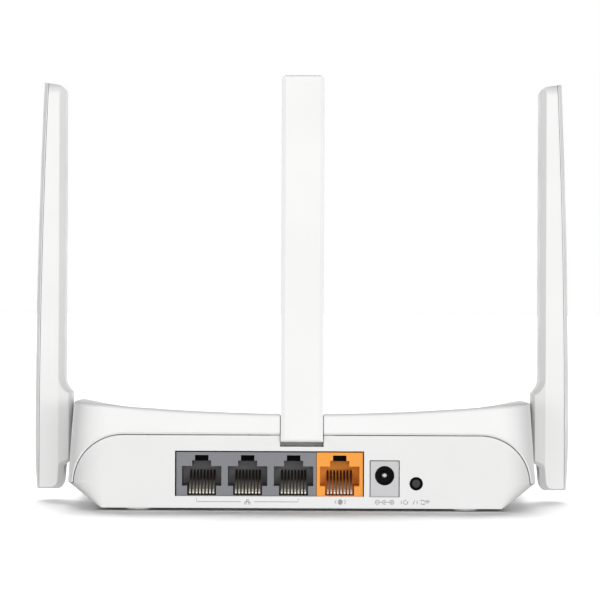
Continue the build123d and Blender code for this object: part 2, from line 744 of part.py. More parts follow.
def shoulder_arc():
    """Hollow arc from the inner face of the hinge end up to the blade."""
    end = (BLADE_X + 0.02, SHOULDER_TOP_Z)
    centre_x = end[0] - SHOULDER_R
    turn = math.acos((BASE_X - centre_x) / SHOULDER_R)
    points = [
        (centre_x + SHOULDER_R * math.cos(part), SHOULDER_TOP_Z - SHOULDER_R * math.sin(part))
        for part in (turn, turn / 2)
    ]
    return ThreePointArc(*points, end)


def slanted_sides():
    """Plan section of the hinge end, whose two sides come together towards the case."""
    start_x = BLADE_X + BLADE_BEVEL
    draw_in = SIDE_SLANT * (start_x - SLANT_START_X)
    near = PIVOT_Y - ANTENNA_HALF_Y
    far = PIVOT_Y + ANTENNA_HALF_Y
    points = [
        (SLANT_START_X, near + draw_in),
        (start_x, near),
        (CLEAR_X, near),
        (CLEAR_X, far),
        (start_x, far),
        (SLANT_START_X, far - draw_in),
    ]
    return make_face(Polyline(*points, close=True))


def antenna_base():
    """Thicker hinge end, with a hollow shoulder above and a cut-away lower corner."""
    low = ANTENNA_Z[0] - BLADE_BEVEL + BASE_END_BEVEL
    shoulder = shoulder_arc()
    cut_top = (BASE_X, CUT_TOP_Z)
    inner_edge = Line(shoulder @ 0, cut_top)
    lower = FilletPolyline(cut_top, CUT_EDGE, (CUT_FOOT_X, low), (CLEAR_X, low), radius=CUT_RADII)
    top = SHOULDER_TOP_Z + 3
    upper = Polyline(shoulder @ 1, (BLADE_X + 0.02, top), (CLEAR_X, top), (CLEAR_X, low))
    profile = make_face(shoulder + inner_edge + lower + upper)
    base = along_y(profile, PIVOT_Y - ANTENNA_HALF_Y, PIVOT_Y + ANTENNA_HALF_Y)
    rims = [edge for edge in base.edges() if edge.bounding_box().size.Y < 0.01]
    return chamfer(rims, BLADE_BEVEL) & along_z(slanted_sides(), 0, 60)


def antenna_housing():
    """Inner half of a side antenna, hollow, with a hole for the hub."""
    blade = along_y(antenna_front_outline(BLADE_X, 20.0), PIVOT_Y - 10, PIVOT_Y + 10)
    blade &= along_z(bevelled_bar(BLADE_X, BLADE_BEVEL), 0, 140)
    housing = (blade + antenna_base()) & along_x(side_outline(), 70, CLEAR_X) & inside_seam(-COVER_GAP / 2)
    wall = 1.4
    pocket_y = (PIVOT_Y - ANTENNA_HALF_Y + wall, PIVOT_Y + ANTENNA_HALF_Y - wall)
    housing -= block((BLADE_X + wall, CLEAR_X), pocket_y, (9.5, ANTENNA_Z[1] - 4))
    housing -= along_x(disc((PIVOT_Y, PIVOT_Z), HUB_SHAFT_R), 70, 80)
    return housing


def antenna_cover():
    """Crowned outer half of a side antenna."""
    bar = antenna_front_outline(BLADE_X, ANTENNA_Z[0])
    cover = along_y(bar, PIVOT_Y - 10, PIVOT_Y + 10) & along_x(side_outline(), 70, CLEAR_X)
    return (cover & under_crown()) - inside_seam(COVER_GAP / 2)


def antenna_hub():
    """Hollow hinge hub: flange outside the case, shaft through the wall, groove for the ring."""
    centre = (PIVOT_Y, PIVOT_Z)
    hub = along_x(disc(centre, HUB_FLANGE_R), HUB_FLANGE_X, BASE_X)
    hub += along_x(disc(centre, HUB_SHAFT_R), HUB_END_X, BLADE_X + 1.4)
    hub -= along_x(disc(centre, HUB_BORE_R), HUB_END_X - 1, BLADE_X + 5)
    groove = disc(centre, HUB_SHAFT_R + 1) - disc(centre, RING_GROOVE_R)
    return hub - along_x(groove, RING_X[0] - 0.05, RING_X[1] + 0.05)


def antenna_ring():
    """Open retaining ring in the hub's groove."""
    centre = (PIVOT_Y, PIVOT_Z)
    ring = disc(centre, RING_R) - disc(centre, RING_GROOVE_R)
    ring -= Pos(PIVOT_Y, PIVOT_Z + RING_R) * Rectangle(1.6, 2 * RING_R)
    return along_x(ring, *RING_X)


def radiator(x, y, low, high):
    """Sleeve dipole: a thin upper rod that stands in a wider lower tube."""
    middle = (low + high) / 2
    rod = along_z(disc((x, y), 0.6), low, high)
    return rod + along_z(disc((x, y), 1.6), low, middle)


def side_radiator():
    return radiator(79.3, PIVOT_Y, 46.0, 112.0)


def side_feed():
    """Cable from inside the hub up to the radiator."""
    points = [(HUB_END_X + 0.1, PIVOT_Y, PIVOT_Z), (79.3, PIVOT_Y, PIVOT_Z), (79.3, PIVOT_Y, 45.95)]
    return cable(points, [2.3])


def rear_antenna_form():
    """Whole rear antenna: flat bar, bevelled rear face, lower end rounded about the pivot."""
    low = REAR_PIVOT_Z - REAR_HUB_R
    rear = REAR_PIVOT_Y + REAR_HUB_R
    outer = FilletPolyline(
        (REAR_PIVOT_Y, low),
        (rear, low),
        (rear, REAR_ANTENNA_TOP_Z),
        (REAR_ANTENNA_TIP_Y, REAR_ANTENNA_TOP_Z),
        (REAR_PIVOT_Y - REAR_HUB_R, REAR_PIVOT_Z),
        radius=[1.2, 0.6, 1.5],
    )
    diagonal = REAR_HUB_R * math.sqrt(0.5)
    hub_arc = ThreePointArc(
        (REAR_PIVOT_Y - REAR_HUB_R, REAR_PIVOT_Z),
        (REAR_PIVOT_Y - diagonal, REAR_PIVOT_Z - diagonal),
        (REAR_PIVOT_Y, low),
    )
    half = REAR_ANTENNA_HALF_X
    form = along_x(make_face(outer + hub_arc), -half, half)
    corners = [(-half, low), (half, low), (half, REAR_ANTENNA_TOP_Z), (-half, REAR_ANTENNA_TOP_Z)]
    form &= along_y(rounded(corners, [0.4, 0.4, 1.5, 1.5]), 40, 70)
    across, deep = REAR_ANTENNA_BEVEL
    right = [(half, 40), (half, rear - deep), (half - across, rear)]
    left = [(-x, y) for x, y in reversed(right)]
    return form & along_z(make_face(Polyline(*right, *left, close=True)), 0, 140)


def rear_pocket():
    """Hollow inside the rear antenna, shared by its two halves."""
    wall = 1.3
    half = REAR_ANTENNA_HALF_X - wall
    depth = (REAR_ANTENNA_TIP_Y + wall, REAR_PIVOT_Y + REAR_HUB_R - wall)
    return block((-half, half), depth, (30.0, REAR_ANTENNA_TOP_Z - wall))


def rear_antenna_cover():
    cover = rear_antenna_form() & block((-20, 20), (REAR_SEAM_Y + 0.06, 70), (0, 140))
    return cover - rear_pocket()


def rear_antenna_housing():
    """Front half of the rear antenna, with the two hinge pins; one pin is hollow for the cable."""
    housing = rear_antenna_form() & block((-20, 20), (40, REAR_SEAM_Y - 0.06), (0, 140))
    housing -= rear_pocket()
    housing -= block((-1.2, 1.2), (REAR_PIVOT_Y - 1.2, 60), (REAR_PIVOT_Z - 1.2, 30.5))
    for side in (-1, 1):
        span = sorted((side * REAR_ANTENNA_HALF_X, side * PIN_HALF_X))
        housing += along_x(disc((REAR_PIVOT_Y, REAR_PIVOT_Z), PIN_R), *span)
    housing -= along_x(disc((REAR_PIVOT_Y, REAR_PIVOT_Z), CABLE_R + 0.15), 0, PIN_HALF_X + 1)
    return housing


def rear_radiator():
    return radiator(0, REAR_PIVOT_Y + 0.7, 46.0, 112.0)


def rear_feed():
    points = [
        (PIN_HALF_X - 0.1, REAR_PIVOT_Y, REAR_PIVOT_Z),
        (0, REAR_PIVOT_Y, REAR_PIVOT_Z),
        (0, REAR_PIVOT_Y, 34.0),
        (0, REAR_PIVOT_Y + 0.7, 40.0),
        (0, REAR_PIVOT_Y + 0.7, 45.9),
    ]
    return cable(points, [1.7, 4.0, 4.0])


def rating_label():
    """Blank label stuck under the case."""
    front, rear = LABEL_Y
    half = LABEL_HALF_X
    corners = [(-half, front), (half, front), (half, rear), (-half, rear)]
    return along_z(rounded(corners, [1.5] * 4), FLOOR_Z - LABEL_THICK, FLOOR_Z)


def shared_pieces():
    """Pieces that have no mirror image."""
    return {
        "bottom_shell": bottom_shell(),
        "top_shell": top_shell(),
        "circuit_board": circuit_board(),
        "lan_jack_block": jack(LAN_BLOCK_X, LAN_X),
        "wan_jack": jack(WAN_BLOCK_X, [WAN_X]),
        "lan_contact_wires": contact_wires(LAN_X),
        "wan_contact_wires": contact_wires([WAN_X]),
        "dc_jack_housing": dc_jack_housing(),
        "dc_jack_center_pin": dc_jack_center_pin(),
        "dc_jack_spring_contact": dc_jack_spring_contact(),
        "reset_switch": reset_switch(),
        "reset_button": reset_button(),
        "main_chip": chip_package(10.0, 12.0, 12.0, 1.0),
        "memory_chip": leaded_chip(-8.0, 4.0, 5.2, 5.3, 1.8, 4),
        "network_transformers": network_transformers(),
        "crystal": soft_topped_block(22.0, 6.0, 3.2, 2.5, 0.8, 0.15),
        "electrolytic_capacitors": electrolytic_capacitors(),
        "power_inductor": soft_topped_block(-34.0, 12.0, 6.0, 6.0, 2.8, 0.4),
        "ceramic_capacitors": ceramic_capacitors(),
        "status_leds": status_leds(),
        "light_guide": light_guide(),
        "case_screws": case_screws(),
        "rubber_feet": rubber_feet(),
        "rating_label": rating_label(),
        "rear_antenna_cover": rear_antenna_cover(),
        "rear_antenna_housing": rear_antenna_housing(),
        "rear_antenna_radiator": rear_radiator(),
        "rear_antenna_feed": rear_feed(),
        "rear_antenna_cable": rear_cable(),
    }


def side_pieces():
    """Pieces of the +X antenna; the -X antenna has mirror images of them."""
    return {
        "antenna_housing": antenna_housing(),
        "antenna_cover": antenna_cover(),
        "antenna_hub": antenna_hub(),
        "antenna_ring": antenna_ring(),
        "antenna_radiator": side_radiator(),
        "antenna_feed": side_feed(),
        "antenna_cable": side_cable(),
    }


def main():
    os.makedirs("parts", exist_ok=True)
    pieces = shared_pieces()
    for name, piece in side_pieces().items():
        pieces["left_" + name] = piece
        pieces["right_" + name] = mirror(piece, about=Plane.YZ)
    for name, piece in pieces.items():
        export_step(piece, f"parts/{name}.step")


main()
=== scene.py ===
import json
import math

import bmesh
import bpy
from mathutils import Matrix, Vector
from mathutils.bvhtree import BVHTree


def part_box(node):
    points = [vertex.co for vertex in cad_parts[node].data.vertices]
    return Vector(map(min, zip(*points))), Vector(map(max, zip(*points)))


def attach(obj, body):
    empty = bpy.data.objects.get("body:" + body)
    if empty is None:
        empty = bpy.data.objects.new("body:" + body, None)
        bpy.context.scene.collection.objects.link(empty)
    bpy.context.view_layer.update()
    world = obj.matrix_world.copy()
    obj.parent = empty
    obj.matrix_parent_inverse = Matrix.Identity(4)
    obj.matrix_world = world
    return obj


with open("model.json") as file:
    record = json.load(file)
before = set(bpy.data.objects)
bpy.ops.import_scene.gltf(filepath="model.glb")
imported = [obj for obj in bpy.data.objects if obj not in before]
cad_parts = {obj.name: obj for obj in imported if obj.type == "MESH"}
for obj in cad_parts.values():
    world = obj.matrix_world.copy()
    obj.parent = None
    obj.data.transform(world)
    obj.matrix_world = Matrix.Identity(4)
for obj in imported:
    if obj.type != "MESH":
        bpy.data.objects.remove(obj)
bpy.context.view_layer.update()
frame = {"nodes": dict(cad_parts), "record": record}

# The looks of a wireless router seen from the side with its sockets. Metres, in the frame of
# the CAD model: +Z is up, the sockets face +Y and +X is at the left of the picture.

MM = 0.001

# ---- Camera ----
CAMERA_PLACE = (0.00073, 0.9575, 0.06407)
CAMERA_LENS = 177.8
CAMERA_ROLL = -0.24         # degrees
CAMERA_SENSOR = 36
CAMERA_CLIP = (0.05, 30)

# ---- Light ----
SKY_SIDES = 0.2             # brightness of the studio beside the object
SKY_REAR = 2.28             # brightness of the wide screen that faces the sockets
SKY_FRONT = 1.8             # and of the one that faces the other side
SKY_ABOVE = 0.15            # share of that brightness overhead
SKY_BELOW = 0.35            # and below the floor's level
# where each change in brightness starts and ends, as a component of the direction
REAR_SCREEN_Y = (-0.05, 0.5)
FRONT_SCREEN_Y = (-0.9, -0.4)
SCREEN_TOP_Z = (0.05, 0.45)
SCREEN_FOOT_Z = (-0.3, -0.05)
# name, direction that it comes from, strength, spread in degrees
SOFT_LIGHTS = [
    ("rear_light", (-0.25, 1.0, 0.0), 1.2, 46),
    ("top_light", (0.1, -0.9, 1.0), 0.8, 50),
]
# two lights that light the floor only, so that it stays white with the object's shadow on it;
# the antennas do not block the second one, as their own shadows are faint
FLOOR_LIGHT = ("floor_light", (0.0, -1.2, 1.0), 2.6, 60)
CASE_SHADOW_LIGHT = ("case_shadow_light", (0.0, -1.2, 1.0), 2.0, 60)
FLOOR_HALF = 12.0

nodes = frame["nodes"]


def low_corner(node):
    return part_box(node)[0]


def high_corner(node):
    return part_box(node)[1]


def middle(node):
    low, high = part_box(node)
    return (low + high) / 2


# ---------------------------------------------------------------- stage


def make_camera():
    data = bpy.data.cameras.new("camera")
    data.lens = CAMERA_LENS
    data.sensor_width = CAMERA_SENSOR
    data.clip_start, data.clip_end = CAMERA_CLIP
    camera = bpy.data.objects.new("camera", data)
    camera.location = CAMERA_PLACE
    camera.rotation_euler = (math.radians(90), math.radians(CAMERA_ROLL), math.radians(180))
    bpy.context.scene.collection.objects.link(camera)
    bpy.context.scene.camera = camera


def soft_light(name, come_from, strength, spread):
    """Very large distant soft light."""
    data = bpy.data.lights.new(name, "SUN")
    data.angle = math.radians(spread)
    data.energy = strength
    light = bpy.data.objects.new(name, data)
    light.rotation_euler = (-Vector(come_from)).to_track_quat("-Z", "Y").to_euler()
    bpy.context.scene.collection.objects.link(light)
    return light


def set_ranges(node, low, high, to_low, to_high):
    """Sets the two ranges of a map range node."""
    numbers = {"From Min": low, "From Max": high, "To Min": to_low, "To Max": to_high}
    for socket, number in numbers.items():
        node.inputs[socket].default_value = number


def make_sky():
    """Surroundings: pure white to the eye; as a light, bright before and behind and dim around."""
    world = bpy.data.worlds.new("studio")
    world.use_nodes = True
    tree = world.node_tree
    tree.nodes.clear()

    def ramp(value, start_end, to_low, to_high):
        node = tree.nodes.new("ShaderNodeMapRange")
        node.interpolation_type = "SMOOTHSTEP"
        set_ranges(node, *start_end, to_low, to_high)
        tree.links.new(value, node.inputs["Value"])
        return node.outputs[0]

    def combine(operation, first, second):
        node = tree.nodes.new("ShaderNodeMath")
        node.operation = operation
        tree.links.new(first, node.inputs[0])
        tree.links.new(second, node.inputs[1])
        return node.outputs[0]

    direction = tree.nodes.new("ShaderNodeTexCoord").outputs["Generated"]
    split = tree.nodes.new("ShaderNodeSeparateXYZ")
    tree.links.new(direction, split.inputs[0])
    rear = ramp(split.outputs["Y"], REAR_SCREEN_Y, SKY_SIDES, SKY_REAR)
    front = ramp(split.outputs["Y"], FRONT_SCREEN_Y, SKY_FRONT, 0.0)
    above = ramp(split.outputs["Z"], SCREEN_TOP_Z, 1.0, SKY_ABOVE)
    below = ramp(split.outputs["Z"], SCREEN_FOOT_Z, SKY_BELOW, 1.0)
    strength = combine("MULTIPLY", combine("ADD", rear, front), combine("MULTIPLY", above, below))
    fill = tree.nodes.new("ShaderNodeBackground")
    tree.links.new(strength, fill.inputs["Strength"])
    fill.inputs["Color"].default_value = (1, 1, 1, 1)
    backdrop = tree.nodes.new("ShaderNodeBackground")
    backdrop.inputs["Color"].default_value = (1, 1, 1, 1)
    path = tree.nodes.new("ShaderNodeLightPath")
    mix = tree.nodes.new("ShaderNodeMixShader")
    output = tree.nodes.new("ShaderNodeOutputWorld")
    tree.links.new(path.outputs["Is Camera Ray"], mix.inputs["Fac"])
    tree.links.new(fill.outputs[0], mix.inputs[1])
    tree.links.new(backdrop.outputs[0], mix.inputs[2])
    tree.links.new(mix.outputs[0], output.inputs["Surface"])
    bpy.context.scene.world = world


def make_floor():
    """Plain pale floor, which casts no light back on the object."""
    bm = bmesh.new()
    half = FLOOR_HALF
    corners = ((-half, -half), (half, -half), (half, half), (-half, half))
    bm.faces.new([bm.verts.new((x, y, 0)) for x, y in corners])
    mesh = bpy.data.meshes.new("floor")
    bm.to_mesh(mesh)
    bm.free()
    floor = bpy.data.objects.new("floor", mesh)
    bpy.context.scene.collection.objects.link(floor)
    finish = Finish("floor_white", roughness=0.9)
    finish.colour(finish.blend(finish.noise(12), (0.93, 0.93, 0.93), (0.95, 0.95, 0.95)))
    finish.bump(finish.noise(900, 3), 0.05 * MM, 0.2)
    mesh.materials.append(finish.material)
    floor.visible_diffuse = False
    floor.visible_glossy = False
    lit = bpy.data.collections.new("lit_by_floor_light")
    lit.objects.link(floor)
    soft_light(*FLOOR_LIGHT).light_linking.receiver_collection = lit
    case_light = soft_light(*CASE_SHADOW_LIGHT)
    case_light.light_linking.receiver_collection = lit
    blockers = bpy.data.collections.new("blocks_case_shadow_light")
    for node in nodes:
        if "antenna" not in node:
            blockers.objects.link(nodes[node])
    case_light.light_linking.blocker_collection = blockers


# ---------------------------------------------------------------- materials

DUST_AND_SHADE_REACH = 1.5 * MM       # Dust and painted shade lie in corners narrower than this
# Black painted as the shade inside holes, which also lose most of their shine
PAINTED_HOLLOW_SHADE = (0.004, 0.004, 0.004)
HOLLOW_SPECULAR = 0.03
CONTACT_TOP_COLOUR = (0.07, 0.045, 0.03)    # the darker upper part of a contact
# how far the painted shading inside the sockets and the power jack reaches
SOCKET_DEPTH = 12 * MM
NOTCH_Z = 19.2 * MM         # the rear antenna's notch in the panel is above this; the panel's painted shade stays below it


class Finish:
    """One procedural material: a principled shader and short ways to add its texture nodes."""

    def __init__(self, name, roughness=0.5, metallic=0.0, specular=0.5, coat=0.0,
                 transmission=0.0, ior=1.5):
        self.material = bpy.data.materials.new(name)
        self.material.use_nodes = True
        self.tree = self.material.node_tree
        self.tree.nodes.clear()
        self.surface = self.add("ShaderNodeBsdfPrincipled")
        output = self.add("ShaderNodeOutputMaterial")
        self.link(self.surface.outputs[0], output.inputs["Surface"])
        self.place = self.add("ShaderNodeTexCoord").outputs["Object"]
        self.height = None
        settings = {
            "Roughness": roughness,
            "Metallic": metallic,
            "Specular IOR Level": specular,
            "Coat Weight": coat,
            "Transmission Weight": transmission,
            "IOR": ior,
        }
        for socket, value in settings.items():
            self.surface.inputs[socket].default_value = value

    def add(self, kind):
        return self.tree.nodes.new(kind)

    def link(self, start, end):
        self.tree.links.new(start, end)

    def stretched(self, scale):
        """The surface position scaled by a different amount along each axis."""
        mapping = self.add("ShaderNodeMapping")
        mapping.inputs["Scale"].default_value = scale
        self.link(self.place, mapping.inputs["Vector"])
        return mapping.outputs[0]

    def noise(self, scale, detail=2.0, place=None):
        node = self.add("ShaderNodeTexNoise")
        node.inputs["Scale"].default_value = scale
        node.inputs["Detail"].default_value = detail
        self.link(place or self.place, node.inputs["Vector"])
        return node.outputs["Fac"]

    def cells(self, scale, feature, place):
        node = self.add("ShaderNodeTexVoronoi")
        node.feature = feature
        node.inputs["Scale"].default_value = scale
        self.link(place, node.inputs["Vector"])
        return node.outputs["Distance"]

    def spread(self, value, low, high, to_low=0.0, to_high=1.0):
        """Maps the range low to high on to the range to_low to to_high."""
        node = self.add("ShaderNodeMapRange")
        set_ranges(node, low, high, to_low, to_high)
        self.link(value, node.inputs["Value"])
        return node.outputs[0]

    def maths(self, operation, first, second):
        node = self.add("ShaderNodeMath")
        node.operation = operation
        for socket, value in zip(node.inputs, (first, second)):
            if isinstance(value, (int, float)):
                socket.default_value = value
            else:
                self.link(value, socket)
        return node.outputs[0]

    def blend(self, share, first, second):
        """Mixes two colours, each a constant or the output of a node."""
        node = self.add("ShaderNodeMix")
        node.data_type = "RGBA"
        self.link(share, node.inputs[0])
        for socket, value in ((node.inputs[6], first), (node.inputs[7], second)):
            if isinstance(value, tuple):
                socket.default_value = (*value, 1)
            else:
                self.link(value, socket)
        return node.outputs[2]

    def crevice(self, distance):
        """1 deep in corners and gaps, 0 in the open."""
        node = self.add("ShaderNodeAmbientOcclusion")
        node.samples = 6
        node.inputs["Distance"].default_value = distance
        return self.spread(node.outputs["AO"], 0.15, 0.75, 1.0, 0.0)

    def inside(self, depth):
        """Rises from 0 at the mouth of a recess to 1 deep inside it."""
        node = self.add("ShaderNodeAmbientOcclusion")
        node.samples = 8
        node.inputs["Distance"].default_value = depth
        return self.spread(node.outputs["AO"], 0.3, 0.62, 1.0, 0.0)

    def beyond(self, axis, start, end):
        """Rises from 0 to 1 between two positions along an axis of the object."""
        split = self.add("ShaderNodeSeparateXYZ")
        self.link(self.place, split.inputs[0])
        return self.spread(split.outputs[axis], start, end)

    def edge(self, radius):
        """1 along sharp outer edges, 0 on flat areas."""
        soft = self.add("ShaderNodeBevel")
        soft.samples = 6
        soft.inputs["Radius"].default_value = radius
        plain = self.add("ShaderNodeNewGeometry")
        dot = self.add("ShaderNodeVectorMath")
        dot.operation = "DOT_PRODUCT"
        self.link(soft.outputs[0], dot.inputs[0])
        self.link(plain.outputs["Normal"], dot.inputs[1])
        return self.spread(dot.outputs["Value"], 0.8, 0.99, 1.0, 0.0)

    def colour(self, value):
        self.link(value, self.surface.inputs["Base Color"])

    def roughness(self, value, low, high):
        self.link(self.spread(value, 0.25, 0.75, low, high), self.surface.inputs["Roughness"])

    def bump(self, height, distance, strength):
        """Adds a layer of relief; distance is its depth in metres."""
        node = self.add("ShaderNodeBump")
        node.inputs["Distance"].default_value = distance
        node.inputs["Strength"].default_value = strength
        self.link(height, node.inputs["Height"])
        if self.height is not None:
            self.link(self.height, node.inputs["Normal"])
        self.height = node.outputs[0]
        self.link(self.height, self.surface.inputs["Normal"])

    def round_edges(self, radius):
        """Softens the shading of sharp edges, as moulded corners have a small radius."""
        node = self.add("ShaderNodeBevel")
        node.samples = 6
        node.inputs["Radius"].default_value = radius
        self.height = node.outputs[0]
        self.link(self.height, self.surface.inputs["Normal"])


def moulded_plastic(name, colour, roughness, grain, edge_radius, speckle, grain_depth=0.012 * MM,
                    dust_and_shade=0.25, deep=None, deep_below=None, painted_hollow_shade=None, specular=0.45):
    """Moulded plastic: fine grain, slow waviness and faint marks of handling. Dust and painted
    shade darken the corners.

    deep gives the depth of a recess and the colour painted inside it: painted shade, and in the
    orange socket painted light. deep_below gives the height that this stays under.
    painted_hollow_shade is a pair of ranges along axes of the object; where both are passed, the
    surface is painted black as the shade inside a hole."""
    f = Finish(name, specular=specular)
    darker = tuple(channel * (1 - 2 * speckle) for channel in colour)
    worn = tuple(min(1.0, channel * 1.06 + 0.01) for channel in colour)
    dust_and_shade_colour = tuple(channel * 0.55 + 0.03 for channel in colour)
    base = f.blend(f.spread(f.noise(30, 4), 0.35, 0.65), darker, colour)
    base = f.blend(f.spread(f.noise(grain * 0.6, 1), 0.3, 0.7, 0.0, 0.35), base, darker)
    base = f.blend(f.maths("MULTIPLY", f.edge(edge_radius * 2), 0.5), base, worn)
    # Dust in patches, with painted shade: the colour darkens in corners and gaps
    dust_and_shade_mask = f.maths("MULTIPLY", f.crevice(DUST_AND_SHADE_REACH), f.noise(900, 3))
    base = f.blend(f.maths("MULTIPLY", dust_and_shade_mask, dust_and_shade * 2), base, dust_and_shade_colour)
    # Painted shading in recesses: deeper in, the colour turns to the given one, painted shade in
    # most materials and painted light in the orange socket
    if deep:
        depth, painted_recess_colour = deep
        inside = f.inside(depth)
        if deep_below:
            inside = f.maths("MULTIPLY", inside, f.beyond("Z", deep_below, deep_below - MM))
        base = f.blend(inside, base, painted_recess_colour)
    # The inside of a hole, where both ranges are passed, is painted black as shade, with its shine
    # lowered so that it barely reflects
    if painted_hollow_shade:
        hollow = f.maths("MULTIPLY", *[f.beyond(*along) for along in painted_hollow_shade])
        base = f.blend(hollow, base, PAINTED_HOLLOW_SHADE)
        shine = f.spread(hollow, 0.0, 1.0, specular, HOLLOW_SPECULAR)
        f.link(shine, f.surface.inputs["Specular IOR Level"])
    f.colour(base)
    scratches = f.cells(1.0, "DISTANCE_TO_EDGE", f.stretched((35, 900, 60)))
    hairline = f.spread(scratches, 0.0, 0.015, 1.0, 0.0)
    handling = f.maths("ADD", f.noise(70, 5), f.maths("MULTIPLY", hairline, 0.15))
    f.roughness(handling, roughness - 0.06, roughness + 0.08)
    f.round_edges(edge_radius)
    f.bump(f.noise(260, 2), 0.03 * MM, 0.25)
    f.bump(f.noise(grain, 3), grain_depth, 0.5)
    f.bump(hairline, -0.004 * MM, 0.3)
    return f.material


def plated_metal(name, colour, shade, roughness, metallic=1.0, darker_from=None):
    """Thin plating over stamped metal, with drawing lines and a few duller patches.

    darker_from gives the heights between which the strip turns darker towards its top."""
    f = Finish(name, metallic=metallic)
    patches = f.spread(f.noise(1500, 3), 0.35, 0.7)
    base = f.blend(patches, colour, shade)
    # Darker in crevices narrower than 0.6 mm
    crevice_colour = tuple(channel * 0.35 for channel in shade)
    base = f.blend(f.maths("MULTIPLY", f.crevice(0.6 * MM), 0.5), base, crevice_colour)
    # Darker towards the top of the strip
    if darker_from:
        base = f.blend(f.beyond("Z", *darker_from), base, CONTACT_TOP_COLOUR)
    f.colour(base)
    lines = f.noise(1.0, 2, f.stretched((14000, 900, 14000)))
    f.roughness(f.maths("MULTIPLY", lines, f.noise(2500, 2)), roughness, roughness + 0.2)
    f.round_edges(0.04 * MM)
    f.bump(lines, 0.004 * MM, 0.4)
    return f.material


def printed_ink(name, colour):
    """Pad-printed ink with slightly uneven cover."""
    f = Finish(name, roughness=0.5)
    cover = f.spread(f.noise(5000, 3), 0.3, 0.6)
    f.colour(f.blend(cover, tuple(c * 1.25 for c in colour), colour))
    f.roughness(f.noise(1800, 2), 0.4, 0.6)
    f.bump(f.noise(9000, 2), 0.01 * MM, 0.4)
    return f.material


def board_mask(name):
    """Green solder mask with the copper tracks showing faintly through it."""
    f = Finish(name, coat=0.4)
    tracks = f.cells(320, "DISTANCE_TO_EDGE", f.stretched((1, 1, 0.05)))
    base = f.blend(f.spread(tracks, 0.05, 0.09), (0.05, 0.30, 0.12), (0.02, 0.17, 0.07))
    f.colour(f.blend(f.spread(f.noise(60, 3), 0.3, 0.7, 0.0, 0.4), base, (0.015, 0.13, 0.06)))
    f.roughness(f.noise(400, 3), 0.25, 0.45)
    f.bump(f.spread(tracks, 0.05, 0.09), 0.03 * MM, 0.6)
    return f.material


def rubber(name, colour):
    """Matt, slightly mottled rubber."""
    f = Finish(name, specular=0.3)
    f.colour(f.blend(f.noise(500, 4), tuple(c * 0.85 for c in colour), colour))
    f.roughness(f.noise(900, 3), 0.7, 0.9)
    f.bump(f.noise(5000, 3), 0.04 * MM, 0.6)
    return f.material


def paper(name, colour):
    """Matt label with a fibrous surface."""
    f = Finish(name, specular=0.3)
    fibres = f.noise(1.0, 4, f.stretched((9000, 1800, 9000)))
    f.colour(f.blend(fibres, tuple(c * 0.93 for c in colour), colour))
    f.roughness(fibres, 0.55, 0.75)
    f.bump(fibres, 0.01 * MM, 0.5)
    return f.material


def clear_plastic(name, colour):
    """Frosted light guide."""
    f = Finish(name, transmission=0.6, ior=1.49)
    f.colour(f.blend(f.noise(700, 3), tuple(c * 0.96 for c in colour), colour))
    f.roughness(f.noise(1500, 3), 0.25, 0.45)
    f.bump(f.noise(7000, 2), 0.01 * MM, 0.3)
    return f.material


def drawn_metal(name, colour, roughness):
    """Bare metal with fine rings or lines from drawing and turning."""
    f = Finish(name, metallic=1.0)
    lines = f.noise(1.0, 3, f.stretched((400, 400, 16000)))
    f.colour(f.blend(f.spread(f.noise(600, 4), 0.3, 0.7), tuple(c * 0.8 for c in colour), colour))
    f.roughness(lines, roughness, roughness + 0.2)
    f.round_edges(0.08 * MM)
    f.bump(lines, 0.006 * MM, 0.5)
    return f.material


